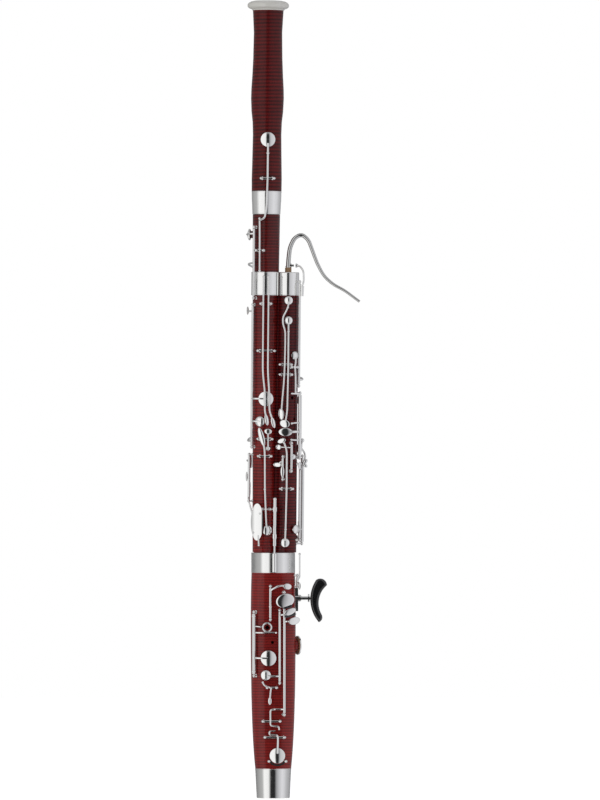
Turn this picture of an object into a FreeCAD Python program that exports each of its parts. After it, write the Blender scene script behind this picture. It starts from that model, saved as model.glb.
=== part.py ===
"""A bassoon, boot standing on its cap.

Frame: millimetres, +Z up, origin under the middle of the boot cap, -Y towards the finger-hole side.
The boot stands upright.  Everything above it is designed on upright axes and then leans together,
about the middle of the boot's top, by the small angle of the two sockets.
"""
import FreeCAD, Part
import math
import os
import Sketcher

Vector = FreeCAD.Vector
P = Vector
doc = FreeCAD.newDocument("Bassoon")

# ---------------------------------------------------------------- driving dimensions
SIZES = {
    "BootTop": 412.2, "BootFerruleBase": 378.7, "CapTop": 49.6, "CapWall": 1.5, "DepthShare": 0.66,
    "SocketDepth": 35.0, "FitGap": 0.05, "ShoulderGap": 0.8, "LeanDegrees": 0.52,
    "BassAxis": -16.6, "BassFoot": 18.2, "BassHead": 23.0, "BassTop": 980.7, "BassTenon": 16.0,
    "BassHeadTenon": 20.0, "BassBoreFoot": 10.0, "BassBoreHead": 15.0,
    "WingAxis": 21.0, "WingWall": 17.7, "WingTop": 845.0, "WingTenon": 12.5, "LinerWall": 8.5,
    "LinerBore": 5.0, "WingSpigot": 16.9, "WingFerruleWall": 18.5, "BandTop": 884.0, "BandWall": 24.2,
    "ScoopGap": 0.7, "CorkWall": 5.5, "CorkSocket": 30.0,
    "BellFoot": 981.2, "BellFerruleTop": 1019.9, "BellBore": 19.0, "BellTop": 1324.0, "RingTop": 1340.0,
    "BellSpigot": 21.9, "BellSocket": 28.5, "RingWall": 34.9,
    "RodWall": 2.1, "AxleWall": 0.8, "AxleHole": 0.86, "BallWall": 2.5, "StemWall": 1.5, "StemSink": 4.0,
    "RodEndGap": 2.9, "CupHeight": 3.0, "CupDome": 1.6, "PadRecess": 2.0, "CupSkin": 0.8,
    "BocalFoot": 4.25, "BocalTip": 2.2, "BocalBore": 0.7,
    "LockRod": 2.8, "LockTip": 1.6, "StemRod": 3.0, "CrutchDepth": 24.0,
}
sheet = doc.addObject("Spreadsheet::Sheet", "Sizes")
for row, (alias, value) in enumerate(SIZES.items(), start=1):
    sheet.set(f"A{row}", alias)
    sheet.set(f"B{row}", str(value))
    sheet.setAlias(f"B{row}", alias)
doc.recompute()


def size(alias):
    return float(sheet.get(alias))


# ---------------------------------------------------------------- frames and places
lean = FreeCAD.Placement(Vector(), FreeCAD.Rotation(Vector(0, 1, 0), size("LeanDegrees")),
                         Vector(0, 0, size("BootTop")))
upright = FreeCAD.Placement()
NODES = []


def node(piece, frame):
    """Keep a finished sub-part, placed in the boot's upright frame or in the leaning one."""
    piece.Placement = frame.multiply(piece.Placement)
    NODES.append(piece)
    return piece


def named(kind, label):
    piece = doc.addObject(kind, label)
    piece.Label = label
    return piece


def turn_to(direction):
    return FreeCAD.Rotation(Vector(0, 0, 1), Vector(direction))


# Each wooden joint answers: where is its middle near a point, and how far out is its surface there.
def bass_wall(height):
    share = (height - size("BootTop")) / (size("BassTop") - size("BootTop"))
    return size("BassFoot") + share * (size("BassHead") - size("BassFoot"))


BOOT_WIDTHS = ((0.0, 55.5), (49.6, 60.6), (97.0, 68.0), (164.0, 73.0), (265.0, 75.5), (378.7, 73.0),
               (412.2, 73.0))


def boot_width(height):
    for (low, narrow), (high, wide) in zip(BOOT_WIDTHS, BOOT_WIDTHS[1:]):
        if height <= high:
            return narrow + (wide - narrow) * (height - low) / (high - low)
    return BOOT_WIDTHS[-1][1]


def middle_and_wall(joint, x, height):
    if joint == "bass":
        return size("BassAxis"), bass_wall(height)
    if joint == "wing":
        return size("WingAxis"), size("WingWall")
    if joint == "bell":
        return size("BassAxis"), 25.2
    wall = boot_width(height) * size("DepthShare") / 2
    half_flat = boot_width(height) / 2 - wall
    return max(-half_flat, min(half_flat, x)), wall


def around(joint, angle, stand, height):
    """A point standing off a joint's wall; the angle is from the front towards +X."""
    side = 1000.0 if math.sin(math.radians(angle)) > 0 else -1000.0
    middle, wall = middle_and_wall(joint, side if joint == "boot" else 0.0, height)
    reach = wall + stand
    return Vector(middle + reach * math.sin(math.radians(angle)), -reach * math.cos(math.radians(angle)),
                  height)


def front(joint, x, stand, height):
    """A point straight in front of a joint's wall at a given x."""
    middle, wall = middle_and_wall(joint, x, height)
    drop = math.sqrt(max(wall ** 2 - (x - middle) ** 2, 0.0))
    return Vector(x, -drop - stand, height)


# ---------------------------------------------------------------- small shapes that keys are made of
def whole(kind, sizes, place, bound=None):
    """A round primitive as two fused halves, so that no face closes on itself."""
    halves = []
    for turn in (0, 180):
        half = doc.addObject(kind, "Half")
        for prop, value in sizes.items():
            setattr(half, prop, value)
        setattr(half, "Angle" if kind == "Part::Cylinder" else "Angle3", 180)
        if bound:
            half.setExpression("Radius", f"Sizes.{bound}")
        half.Placement = place * FreeCAD.Placement(Vector(), FreeCAD.Rotation(Vector(0, 0, 1), turn))
        halves.append(half)
    return fused("Whole", halves)


def bar(start, end, thickness=1.5, bound=None):
    sizes = {"Radius": thickness, "Height": (end - start).Length}
    return whole("Part::Cylinder", sizes, FreeCAD.Placement(start, turn_to(end - start)), bound)


def bound_bar(start, end, alias):
    return bar(start, end, size(alias), alias)


def ball(centre, thickness, rod_way=Vector(1, 0, 0.2), stem_way=Vector(0, 1, 0.1), bound=None):
    """A ball whose poles and edges lie clear of the rod and the stem that enter it."""
    pole = rod_way.cross(stem_way).normalize()
    edge = (Vector(rod_way).normalize() - Vector(stem_way).normalize()).normalize()
    turn = FreeCAD.Rotation(edge, pole.cross(edge), pole, "ZXY")
    return whole("Part::Sphere", {"Radius": thickness}, FreeCAD.Placement(centre, turn), bound)


def smooth_path(points):
    """Straight runs joined by tangent arcs, as a wire or tube is bent."""
    edges = []
    start = points[0]
    for before, corner, after in zip(points, points[1:], points[2:]):
        into = (corner - before).normalize()
        out = (after - corner).normalize()
        trim = 0.45 * min((corner - before).Length, (after - corner).Length)
        first = corner - into * trim
        last = corner + out * trim
        half_turn = into.getAngle(out) / 2
        if half_turn < 0.01:
            continue
        turn = (out - into).normalize()
        sagitta = trim / math.tan(half_turn) * (1 / math.cos(half_turn) - 1)
        edges += [Part.LineSegment(start, first).toShape(),
                  Part.Arc(first, corner + turn * sagitta, last).toShape()]
        start = last
    edges.append(Part.LineSegment(start, points[-1]).toShape())
    return Part.Wire(edges)


def arm(points, thickness=1.5):
    """A round arm that bends smoothly at each inner point."""
    way = points[1] - points[0]
    rim = [Part.makeCircle(thickness, points[0], way, start, start + 180) for start in (0, 180)]
    piece = doc.addObject("Part::Feature", "Arm")
    piece.Shape = smooth_path(points).makePipeShell([Part.Wire(rim)], True, False)
    return piece


def cup(centre, outward, wall):
    """A pad cup: a shallow dome with a recess below for its pad.  The centre is on its rim."""
    tall = size("CupHeight")
    crown = tall + size("CupDome")
    skin = size("CupSkin")
    recess = size("PadRecess")
    low = tall - 1
    crown_flat = 1.0
    middle = (crown ** 2 + crown_flat ** 2 - wall ** 2 - low ** 2) / (2 * (crown - low))
    dome = math.hypot(wall, low - middle)
    over = (math.atan2(wall, low - middle) + math.atan2(crown_flat, crown - middle)) / 2
    corners = [Vector(crown_flat, 0, crown), Vector(0, 0, crown), Vector(0, 0, recess),
               Vector(wall - skin, 0, recess), Vector(wall - skin, 0, 0), Vector(wall, 0, 0),
               Vector(wall, 0, low)]
    edges = [Part.LineSegment(a, b).toShape() for a, b in zip(corners, corners[1:])]
    shoulder = Vector(dome * math.sin(over), 0, middle + dome * math.cos(over))
    edges.append(Part.Arc(corners[-1], shoulder, corners[0]).toShape())
    section = Part.Face(Part.Wire(edges))
    halves = [section.revolve(Vector(), Vector(0, 0, 1), turn) for turn in (180, -180)]
    piece = doc.addObject("Part::Feature", "Cup")
    piece.Shape = halves[0].fuse(halves[1])
    piece.Placement = FreeCAD.Placement(centre, turn_to(outward))
    return piece


def touch(centre, along, outward, half_length, half_width, half_thick=1.7):
    """A finger touch: a smooth flattened oval."""
    up = Vector(outward).normalize()
    lengthways = (Vector(along) - up * up.dot(Vector(along))).normalize()
    turn = FreeCAD.Rotation(lengthways, up.cross(lengthways), up, "ZXY")
    sizes = {"Radius1": half_thick, "Radius2": half_length, "Radius3": half_width}
    return whole("Part::Ellipsoid", sizes, FreeCAD.Placement(centre, turn))


def ring(centre, outward, wall, thickness):
    place = FreeCAD.Placement(centre, turn_to(outward))
    return whole("Part::Torus", {"Radius1": wall, "Radius2": thickness}, place)


def fused(label, pieces):
    piece = named("Part::MultiFuse", label)
    piece.Shapes = pieces
    piece.Refine = False
    return piece


HINGES = {}
POSTS = {"bell": [], "bass": [], "wing": [], "boot": []}


def post(joint, head, rod_way, stem="StemWall"):
    """A pillar: ball head on a stem that is screwed radially into the wood."""
    middle, wall = middle_and_wall(joint, head.x, head.z)
    centre = Vector(middle, 0, head.z)
    foot = centre + (head - centre).normalize() * (wall - size("StemSink"))
    collar_base = centre + (head - centre).normalize() * (wall - 0.4)
    collar_top = centre + (head - centre).normalize() * (wall + 0.9)
    head_ball = ball(head, size("BallWall"), rod_way, foot - head, "BallWall")
    return [head_ball, bound_bar(foot, head, stem), bar(collar_base, collar_top, 2.7)]


def hinge(joint, first, second):
    """Two pillars and the steel rod between them, as one screwed-up group."""
    way = second - first
    posts = post(joint, first, way) + post(joint, second, way)
    group = fused("Hinge", posts + [bound_bar(first, second, "AxleWall")])
    POSTS[joint].append(group)


def key(label, joint, first, second, pieces, frame, span=(0.0, 1.0), wall="RodWall", pillars=True):
    """A key: its tube turns on the steel rod between two pillars and carries arms, cups and touches."""
    if pillars:
        hinge(joint, first, second)
    way = (second - first).normalize()
    gap = size("RodEndGap")
    usable = (second - first).Length - 2 * gap
    start = first + way * (gap + usable * span[0])
    end = first + way * (gap + usable * span[1])
    tube = bound_bar(start, end, wall)
    hole = bound_bar(first - way * 60, second + way * 60, "AxleHole")
    drilled = named("Part::Cut", label)
    drilled.Base = fused(label + "_solid", [tube] + pieces)
    drilled.Tool = hole
    HINGES[label] = (frame.multVec(first), frame.Rotation.multVec(way))
    return node(drilled, frame)


X = Vector(1, 0, 0)
Z = Vector(0, 0, 1)
FRONT = Vector(0, -1, 0)


def facing(angle):
    return Vector(math.sin(math.radians(angle)), -math.cos(math.radians(angle)), 0)


# ---------------------------------------------------------------- turned pieces
def turned(label, outline, frame, axis_x):
    """A PartDesign body turned about an upright axis.  The outline's places are sheet expressions."""
    body = named("PartDesign::Body", label)
    sketch = body.newObject("Sketcher::SketchObject", label + "_outline")
    plane = next(p for p in body.Origin.OriginFeatures if p.Role == "XZ_Plane")
    sketch.AttachmentSupport = [(plane, "")]
    sketch.MapMode = "FlatFace"
    places = [(doc_value(r), doc_value(z)) for r, z in outline]
    count = len(places)
    for here, there in zip(places, places[1:] + places[:1]):
        sketch.addGeometry(Part.LineSegment(Vector(*here, 0), Vector(*there, 0)), False)
    for line in range(count):
        sketch.addConstraint(Sketcher.Constraint("Coincident", line, 2, (line + 1) % count, 1))
    for line, ((radius, height), (r_text, z_text)) in enumerate(zip(places, outline)):
        for kind, value, text in (("DistanceX", radius, r_text), ("DistanceY", height, z_text)):
            index = sketch.addConstraint(Sketcher.Constraint(kind, -1, 1, line, 1, value))
            sketch.setExpression(f"Constraints[{index}]", text)
    spin = body.newObject("PartDesign::Revolution", label + "_turned")
    spin.Profile = sketch
    spin.ReferenceAxis = (sketch, ["V_Axis"])
    spin.Angle = 360
    body.Tip = spin
    body.Placement.Base = Vector(axis_x, 0, 0)
    return body


def doc_value(text):
    """The number that a sheet expression stands for."""
    probe = doc.addObject("App::FeaturePython", "Probe")
    probe.addProperty("App::PropertyFloat", "Value")
    probe.setExpression("Value", text)
    probe.recompute()
    value = probe.Value
    doc.removeObject(probe.Name)
    return value


def s(text):
    """Write a sheet expression with bare aliases."""
    for alias in sorted(SIZES, key=len, reverse=True):
        text = text.replace("@" + alias, "Sizes." + alias)
    return text


def cut(label, base, tools):
    piece = named("Part::Cut", label)
    piece.Base = base
    piece.Tool = tools[0] if len(tools) == 1 else fused(label + "_tools", tools)
    return piece


def group(label, pieces, frame):
    piece = named("Part::Compound", label)
    piece.Links = pieces
    return node(piece, frame)


def oval(height, inset=0.0, width=None):
    """The boot's outline at a height: two half circles joined by straight sides."""
    full = boot_width(height) if width is None else width
    wall = full * size("DepthShare") / 2 - inset
    flat = full / 2 - inset - wall
    left = [Part.LineSegment(Vector(flat, wall, height), Vector(-flat, wall, height)).toShape(),
            Part.Arc(Vector(-flat, wall, height), Vector(-flat - wall, 0, height),
                     Vector(-flat, -wall, height)).toShape()]
    right = [Part.LineSegment(Vector(-flat, -wall, height), Vector(flat, -wall, height)).toShape(),
             Part.Arc(Vector(flat, -wall, height), Vector(flat + wall, 0, height),
                      Vector(flat, wall, height)).toShape()]
    return Part.Wire(left + right)


def lofted(label, wires, straight=False):
    piece = doc.addObject("Part::Feature", label)
    piece.Label = label
    piece.Shape = Part.makeLoft(wires, True, straight)
    return piece


# ---------------------------------------------------------------- bell: keys and pillars
bell_rod_y = -30.5
key("bell_key", "bell", P(-25.6, bell_rod_y, 1041), P(-4.4, bell_rod_y, 1041), [
    arm([P(-15, bell_rod_y - 1, 1041), P(-15, -32.4, 1060), P(-14.8, -32.8, 1084), P(-14.8, -35, 1100)], 1.7),
    cup(front("bell", -14.8, 6.5, 1106), FRONT, 12.2),
    ball(P(-14.9, -33, 1083), 2.6),
    arm([P(-15, bell_rod_y - 1, 1041), P(-15.5, -32.5, 1020), P(-16.5, -31.5, 990), P(-19.5, -30.5, 974),
         P(-28.5, -30.5, 970)], 1.6)], lean)

# ---------------------------------------------------------------- long joint: keys and pillars
link_y = -26.0
key("bell_link", "bass", P(-33.4, link_y, 920), P(-21.2, link_y, 920), [
    arm([P(-27.3, link_y - 1.2, 920), P(-27.4, link_y - 1.6, 945), P(-27.8, -26.2, 972.5)], 1.5),
    ball(P(-27.8, -25.9, 973.5), 2.2),
    arm([P(-27.2, link_y - 0.9, 921.3), P(-27.2, link_y - 1.8, 903), P(-27.1, -27.6, 886.4)], 1.4),
    ball(P(-27.1, -27.5, 886), 2.1)], lean, span=(0.1, 1.0))

low_b_side = -45
low_b_low = around("bass", low_b_side, 6.0, 958)
low_b_rod = (P(low_b_low.x, low_b_low.y, 840), P(low_b_low.x, low_b_low.y, 959))
key("low_b_key", "bass", low_b_rod[0], low_b_rod[1], [
    cup(around("bass", -97, 4.5, 947), facing(-97), 9.5),
    arm([P(low_b_low.x, low_b_low.y, 948), around("bass", -60, 10, 948), around("bass", -80, 10.4, 947),
         around("bass", -95, 8.2, 947)], 1.6),
    arm([P(low_b_low.x, low_b_low.y, 899), around("bass", -66, 8.5, 898), around("bass", -100, 7.5, 896),
         around("bass", -132, 7.5, 893), around("bass", -150, 8, 885)], 1.6),
    touch(around("bass", -152, 8, 880), Z, facing(-152), 10, 5)], lean)

left_lever_y = -28.5
lever_left = P(-28.7, left_lever_y, 751.5)
lever_mid = P(-15.3, left_lever_y, 751.5)
lever_right = P(-0.9, left_lever_y, 751.5)
hinge("bass", lever_left, lever_right)


def little_finger_lever(label, first, second, line_x, curve):
    """One of the two long little-finger levers that share a steel rod."""
    top = [P(line_x, left_lever_y - 1, 751.5), P(line_x, -29.5, 790), P(line_x, -28.2, 845),
           P(line_x, -28.2, 876)]
    key(label, "bass", first, second, [
        arm(top, 1.5), ball(top[-1], 1.9),
        arm([P(line_x, left_lever_y - 1, 751.5), P(line_x, -31.8, 715)] + curve[:-1], 1.6),
        touch(curve[-1], curve[-1] - curve[-2], P(0.25, -1, -0.1), 9.5, 3.4, 1.8)], lean, pillars=False)


little_finger_lever("c_sharp_lever", lever_left, lever_mid + X * 2.5, -20.2,
                    [P(-16.3, -34.4, 683), P(-16.1, -34.2, 662), P(-16.2, -33.6, 651), P(-14.0, -32.6, 641),
                     P(-12.9, -32.2, 635.5)])
little_finger_lever("e_flat_lever", lever_mid - X * 2.5, lever_right, -11.6,
                    [P(-9.0, -34.2, 683), P(-8.6, -34.0, 660), P(-8.2, -33.0, 650), P(-3.6, -30.6, 637),
                     P(-2.0, -29.6, 631)])

low_c_side = around("bass", -55, 5.2, 720)
low_c_rod = (P(low_c_side.x, low_c_side.y, 590), P(low_c_side.x, low_c_side.y, 829))
key("low_c_key", "bass", low_c_rod[0], low_c_rod[1], [
    cup(front("bass", -14.5, 3.0, 670.7), FRONT, 12.4),
    arm([P(low_c_side.x, low_c_side.y, 671), P(-34.5, -23.4, 671), P(-27.0, -26.4, 671), P(-19, -26.6, 671)],
        1.6),
    cup(around("bass", -18, 3.0, 632.8), facing(-18), 8.2),
    arm([P(low_c_side.x, low_c_side.y, 633), P(-35.4, -21.6, 633), P(-30.5, -24.6, 633), P(-25, -25.8, 633)],
        1.4),
    arm([P(low_c_side.x, low_c_side.y, 818), around("bass", -72, 8.5, 818), around("bass", -92, 8.5, 819)],
        1.5),
    touch(around("bass", -96, 8.5, 819), Z, facing(-96), 7, 3.6),
    arm([P(low_c_side.x, low_c_side.y, 600), around("bass", -78, 8.6, 600), around("bass", -110, 8.6, 603),
         around("bass", -140, 8.6, 608)], 1.6),
    touch(around("bass", -146, 8.6, 611), P(1, 0, 1), facing(-146), 9, 5.5)], lean)

low_d_y = -26.0
key("long_lever_key", "bass", P(-26.2, low_d_y, 574.5), P(-5.0, low_d_y, 574.5), [
    arm([P(-15.4, low_d_y - 1, 574.5), P(-15.9, -30.2, 586), P(-18.3, -31.6, 597), P(-20, -31.9, 604)], 1.7),
    touch(P(-21.2, -32.2, 607), P(-0.3, 0, 1), P(-0.2, -1, 0), 16, 4.6, 2.0),
    arm([P(-15.4, low_d_y - 1, 574.5), P(-15.1, -28.4, 551), P(-14.8, -28.0, 519), P(-12.4, -27.4, 470),
         P(-11.4, -26.2, 455)], 1.6),
    ball(P(-14.8, -28.0, 519), 2.3),
    cup(around("bass", 16, 3.0, 450), facing(16), 8.0)], lean)

vent_y = -24.8
key("short_oval_key", "bass", P(-27.3, vent_y, 603.4), P(-3.8, vent_y, 603.4), [
    arm([P(-10.4, vent_y - 1, 603.4), P(-10.4, -28, 609), P(-10.4, -28.6, 614)], 1.6),
    touch(P(-10.4, -28.8, 616.0), X, FRONT, 6.4, 4.6, 1.6),
    arm([P(-10.4, vent_y - 1, 603.4), P(-10.3, -26.0, 596), P(-10.2, -25.6, 589)], 1.5),
    cup(front("bass", -10.2, 2.6, 587.5), P(0.3, -1, 0), 4.2)], lean)

low_d_rod = around("bass", -80, 6.2, 545)
key("low_d_key", "bass", P(low_d_rod.x, low_d_rod.y, 499), P(low_d_rod.x, low_d_rod.y, 577), [
    cup(around("bass", -27, 2.8, 466), facing(-27), 10.0),
    arm([P(low_d_rod.x, low_d_rod.y, 506), around("bass", -74, 8.4, 503), around("bass", -58, 7.4, 488),
         around("bass", -44, 6.7, 474), around("bass", -33, 6.4, 467)], 1.3),
    arm([P(low_d_rod.x, low_d_rod.y, 566), around("bass", -96, 9.6, 567), around("bass", -122, 9.4, 566)],
        1.7),
    touch(around("bass", -130, 9.2, 566), Z, facing(-130), 12, 6.5),
    touch(around("bass", -84, 9.8, 540), Z, facing(-84), 8, 4.0)], lean)

thumb_side = around("bass", 172, 6.0, 740)
key("b_flat_thumb_key", "bass", P(thumb_side.x, thumb_side.y, 640), P(thumb_side.x, thumb_side.y, 832), [
    arm([P(thumb_side.x, thumb_side.y, 824), around("bass", 186, 8.2, 823), around("bass", 204, 8.4, 820)],
        1.6),
    cup(around("bass", 207, 4.2, 818), facing(207), 11.0),
    arm([P(thumb_side.x, thumb_side.y, 650), around("bass", 190, 8.4, 650), around("bass", 205, 8.4, 652)],
        1.7),
    touch(around("bass", 207, 8.4, 655), Z, facing(207), 12, 6.5),
    touch(around("bass", 172, 9.0, 690), Z, facing(172), 10, 3.2)], lean)

# Guides for the two long levers and the plain bridge under the long lever
for guide_x in (-24.6, -7.2):
    POSTS["bass"].append(fused("Guide", post("bass", front("bass", guide_x, 6.0, 830.6), Z)))
bridge = [Vector(-18.6, -23.2, 485.5), Vector(-5.0, -22.0, 485.5)]
bridge_ends = [piece for end in bridge for piece in post("bass", end, X)]
POSTS["bass"].append(fused("Bridge", bridge_ends + [bar(bridge[0], bridge[1], 1.2)]))

# ---------------------------------------------------------------- body lock on the long joint
LOCK_X, LOCK_Y, LOCK_LOW, LOCK_TOP = 2.2, -27.8, 396.0, 502.0
lock_foot = P(LOCK_X, LOCK_Y, LOCK_LOW)
guides = []
for height in (440.0, 485.5):
    ring_low = P(LOCK_X, LOCK_Y, height - 3.5)
    strut = bar(around("bass", 38, -4, height), P(LOCK_X, LOCK_Y, height), 1.8)
    guides.append(fused("LockGuide", [bar(ring_low, ring_low + Z * 7, 3.7), strut]))
lock_hole = bar(lock_foot, P(LOCK_X, LOCK_Y, 520), size("LockRod") + 0.06)
POSTS["bass"] += [cut("LockGuideBored", piece, [lock_hole]) for piece in guides]
node(fused("lock_pin", [
    bound_bar(P(LOCK_X, LOCK_Y, 424), P(LOCK_X, LOCK_Y, LOCK_TOP), "LockRod"),
    bound_bar(lock_foot, P(LOCK_X, LOCK_Y, 424), "LockTip"),
    ball(P(LOCK_X, LOCK_Y, LOCK_TOP + 0.5), 3.3)]), lean)

# ---------------------------------------------------------------- wing joint: keys and pillars
rod_y, lever_y = -22.6, -27.4
key("upper_trill_key", "wing", P(8.6, rod_y, 728.7), P(27.6, rod_y, 728.7), [
    bar(P(16.6, rod_y, 728.7), P(16.6, lever_y, 728.7), 1.9),
    arm([P(16.6, lever_y, 728.7), P(17.2, lever_y, 761), P(17.0, lever_y, 785), P(12.8, -25.6, 797),
         P(12.6, -25.2, 808), P(19.0, -27, 820), P(21.6, -27.2, 827), P(22, -25.6, 834)], 1.5),
    cup(front("wing", 22.2, 3.0, 836.5), FRONT, 6.9),
    ball(P(20.8, -27.1, 824.5), 2.0),
    arm([P(16.6, lever_y, 728.7), P(15.6, lever_y, 700), P(13.0, -27.0, 670), P(11.8, -25.6, 652)], 1.5),
    touch(P(11.2, -24.4, 645.5), P(-0.1, 0, 1), P(-0.45, -1, 0), 9.5, 5.4)], lean)
key("lower_trill_key", "wing", P(8.7, rod_y, 711.9), P(28.4, rod_y, 711.9), [
    bar(P(22.4, rod_y, 711.9), P(22.4, lever_y, 711.9), 1.9),
    arm([P(22.4, lever_y, 711.9), P(22.4, lever_y, 760), P(22.4, lever_y, 784), P(22.3, -25.4, 798)], 1.5),
    cup(front("wing", 22.2, 3.0, 802.8), FRONT, 6.7),
    ball(P(22.4, lever_y, 784.5), 2.1),
    arm([P(22.4, lever_y, 711.9), P(21.8, lever_y, 680), P(21.4, -26.8, 650), P(18.8, -25.0, 634)], 1.5),
    touch(P(17.4, -24.6, 629.5), P(1, 0, -0.25), P(-0.2, -1, 0), 8.6, 6.4)], lean)

VENT_SIDE = 31
vent_middle = around("wing", VENT_SIDE, 6.0, 724.5)
tangent = facing(VENT_SIDE).cross(Z)
bar_end = around("wing", VENT_SIDE + 2, 8.2, 680)
key("upper_vent_key", "wing", vent_middle + tangent * 5.5, vent_middle - tangent * 5.5, [
    arm([around("wing", VENT_SIDE, 7.0, 724.5), around("wing", VENT_SIDE + 1, 8.8, 733),
         around("wing", VENT_SIDE + 3, 6.8, 741)], 1.5),
    cup(around("wing", VENT_SIDE + 3, 3.0, 744), facing(VENT_SIDE + 3), 6.7),
    arm([around("wing", VENT_SIDE, 7.0, 724.5), around("wing", VENT_SIDE + 1, 8.8, 710), bar_end], 1.5),
    bar(bar_end + tangent * 7, bar_end - tangent * 7, 1.5),
    ball(bar_end + tangent * 7, 1.9), ball(bar_end - tangent * 7, 1.9)], lean)

whisper = around("wing", 58, 5.4, 750)
key("whisper_key", "wing", P(whisper.x, whisper.y, 693), P(whisper.x, whisper.y, 868), [
    arm([P(whisper.x, whisper.y, 861), P(45.6, -17.0, 862), P(47.4, -13.5, 870), P(46.6, -10.4, 887),
         P(40.5, -4.6, 894.5), P(36.0, -1.8, 895.5)], 1.5),
    cup(P(33.2, 0, 895.5), X, 3.4),
    bar(P(45.2, -16.4, 861), P(44.4, -15.6, 844), 2.6),
    arm([P(whisper.x, whisper.y, 703), around("wing", 75, 9.0, 704), around("wing", 110, 9.0, 706),
         around("wing", 138, 8.4, 708)], 1.6),
    touch(around("wing", 145, 8.2, 710), P(0, 0, 1), facing(145), 10, 5.5)], lean)

plate_rod = around("wing", 62, 7.0, 620)
key("third_finger_key", "wing", P(plate_rod.x, plate_rod.y, 572), P(plate_rod.x, plate_rod.y, 681), [
    touch(P(19.0, -24.0, 615.5), X, FRONT, 11.5, 6.8, 1.6),
    cup(front("wing", 19.5, 3.2, 615.5), FRONT, 5.4),
    arm([P(plate_rod.x, plate_rod.y, 616), P(38.6, -19.5, 616), P(33.2, -23.6, 616), P(26.5, -24.2, 615.8)],
        2.2),
    arm([P(plate_rod.x, plate_rod.y, 631), P(39.2, -18.6, 631), P(34.6, -22.4, 631), P(29.2, -23.8, 630)],
        1.4),
    ball(P(29.2, -23.8, 630), 2.1),
    arm([P(plate_rod.x, plate_rod.y, 602), P(39.2, -18.6, 602), P(34.6, -22.6, 602), P(29.0, -24.0, 602.5)],
        1.4),
    ball(P(29.0, -24.0, 602.5), 2.1)], lean, wall="StemRod")

key("low_ring_lever", "wing", P(11.3, rod_y, 520), P(31.5, rod_y, 520), [
    bar(P(21.6, rod_y, 520), P(21.6, lever_y, 520), 1.9),
    arm([P(21.6, lever_y, 520), P(21.5, lever_y, 560), P(21.3, lever_y, 584), P(17.0, -26.6, 597),
         P(13.4, -25.8, 600.4)], 1.6),
    touch(P(12.4, -25.4, 600.6), P(1, 0, 0.3), P(-0.3, -1, 0), 7.5, 4.0),
    arm([P(21.6, lever_y, 520), P(21.0, lever_y, 490), P(20.4, lever_y, 452), P(19.8, -24.6, 433)], 1.6),
    ball(P(20.4, lever_y, 452), 2.3),
    cup(front("wing", 19.7, 3.0, 429.5), FRONT, 7.3)], lean)

key("side_oval_key", "wing", P(29.3, -21.6, 550), P(29.3, -21.6, 597), [
    arm([P(29.3, -21.6, 589), P(25.0, -20.9, 589.5), P(13.5, -19.6, 590), P(8.0, -17.4, 590)], 1.1),
    touch(P(6.9, -17.0, 590), P(1, -0.5, 0), P(-0.5, -1, 0), 6.0, 4.6),
    cup(P(31.8, -17.2, 574.0), facing(35), 4.6),
    arm([P(29.3, -21.6, 574), P(31.6, -21.9, 574), P(33.2, -21.2, 574)], 1.2)], lean)

key("side_bar_key", "wing", P(14.6, -22.4, 536), P(14.6, -22.4, 574), [
    arm([P(14.6, -22.4, 566), P(11.0, -22.2, 565), P(8.4, -20.6, 562)], 1.4),
    touch(P(5.6, -19.4, 560.4), P(1, -0.4, 0), P(-0.4, -1, 0), 8.0, 3.9),
    touch(P(14.4, -25.2, 549), Z, FRONT, 9.0, 3.2, 1.3)], lean)

side_low = around("wing", 80, 5.6, 500)
key("right_hand_vent_key", "wing", P(side_low.x, side_low.y, 434), P(side_low.x, side_low.y, 562), [
    cup(around("wing", 47, 4.2, 452), facing(47), 7.2),
    arm([P(side_low.x, side_low.y, 452), around("wing", 71, 9.2, 452), around("wing", 53, 7.6, 452)], 1.5),
    arm([P(side_low.x, side_low.y, 552), around("wing", 68, 9.0, 553), around("wing", 58, 9.4, 557)], 1.4),
    touch(around("wing", 54, 9.6, 559), Z, facing(54), 6.5, 3.4)], lean)

bridge_rod = around("wing", 100, 9.6, 500)
key("resonance_key", "wing", P(bridge_rod.x, bridge_rod.y, 428), P(bridge_rod.x, bridge_rod.y, 575), [
    arm([P(bridge_rod.x, bridge_rod.y, 566), around("wing", 98, 14.0, 570), around("wing", 99, 14.0, 579),
         around("wing", 108, 9.4, 587), around("wing", 111, 8.4, 588)], 1.5),
    cup(around("wing", 112, 4.4, 588), facing(112), 9.2),
    ball(around("wing", 96, 8.6, 601.5), 3.4),
    bar(around("wing", 108, 8.3, 589), around("wing", 96, 8.6, 601), 1.5),
    touch(P(52.6, 1.0, 566), P(1, 0, 1), P(0, -1, 0), 5.0, 3.2),
    touch(P(52.2, 1.4, 560), P(1, 0, -1), P(0, -1, 0), 5.0, 3.0),
    arm([P(bridge_rod.x, bridge_rod.y, 440), around("wing", 116, 12.0, 439), around("wing", 134, 11.0, 436)],
        1.5),
    touch(around("wing", 140, 10.6, 435), Z, facing(140), 7, 4.0)], lean, wall="StemRod")

for flick, (height, side) in enumerate(((770, 168), (650, 160)), start=1):
    flick_rod = around("wing", side, 5.4, height)
    key(f"flick_key_{flick}", "wing", P(flick_rod.x, flick_rod.y, height - 30),
        P(flick_rod.x, flick_rod.y, height + 30), [
            cup(around("wing", side - 40, 3.0, height + 19), facing(side - 40), 6.2),
            arm([P(flick_rod.x, flick_rod.y, height + 19), around("wing", side - 14, 8.6, height + 19),
                 around("wing", side - 33, 6.4, height + 19)], 1.4),
            arm([P(flick_rod.x, flick_rod.y, height - 18), around("wing", side + 12, 8.6, height - 19),
                 around("wing", side + 23, 8.6, height - 22)], 1.4),
            touch(around("wing", side + 26, 8.4, height - 24), Z, facing(side + 26), 8.5, 4.6)], lean)

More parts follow.
